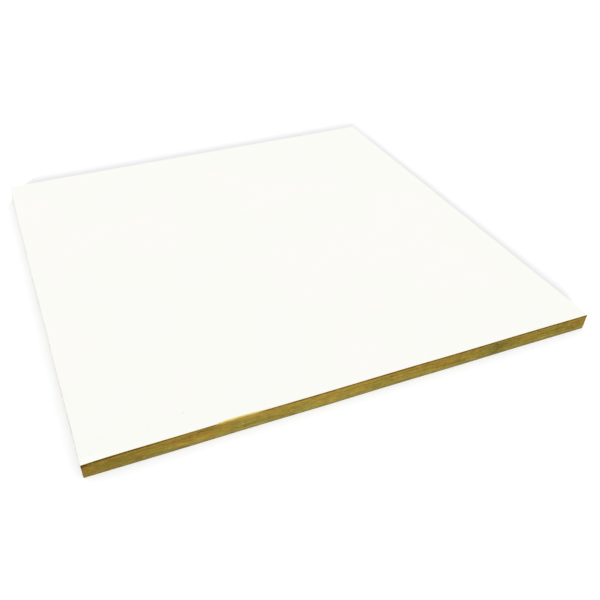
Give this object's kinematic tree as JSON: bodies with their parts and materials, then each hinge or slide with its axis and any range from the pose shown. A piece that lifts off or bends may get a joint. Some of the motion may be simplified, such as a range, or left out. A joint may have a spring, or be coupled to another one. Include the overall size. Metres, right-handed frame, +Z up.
{
  "type": "suspended ceiling tile",
  "caption": "Square flat acoustic ceiling panel: a raw-edged mineral wool board with a white painted tissue face and a plain tissue back, to lie in a 600 mm grid.",
  "frame": {"origin": "middle of the underside, which is the plain tissue's face", "axes": "+Z up through the thickness, out of the painted face; +X along the front edge; +Y towards the back edge"},
  "size_m": [0.595, 0.595, 0.02],
  "materials": {
    "bare_tissue": "plain glass-fibre tissue, matt",
    "raw_wool": "sawn resin-bonded mineral wool, fibrous, matt",
    "white_paint": "painted glass-fibre tissue, fine grain, matt"
  },
  "bodies": {
    "root": {"back_tissue": "bare_tissue", "mineral_wool_core": "raw_wool", "face_tissue": "white_paint"}
  },
  "joints": []
}
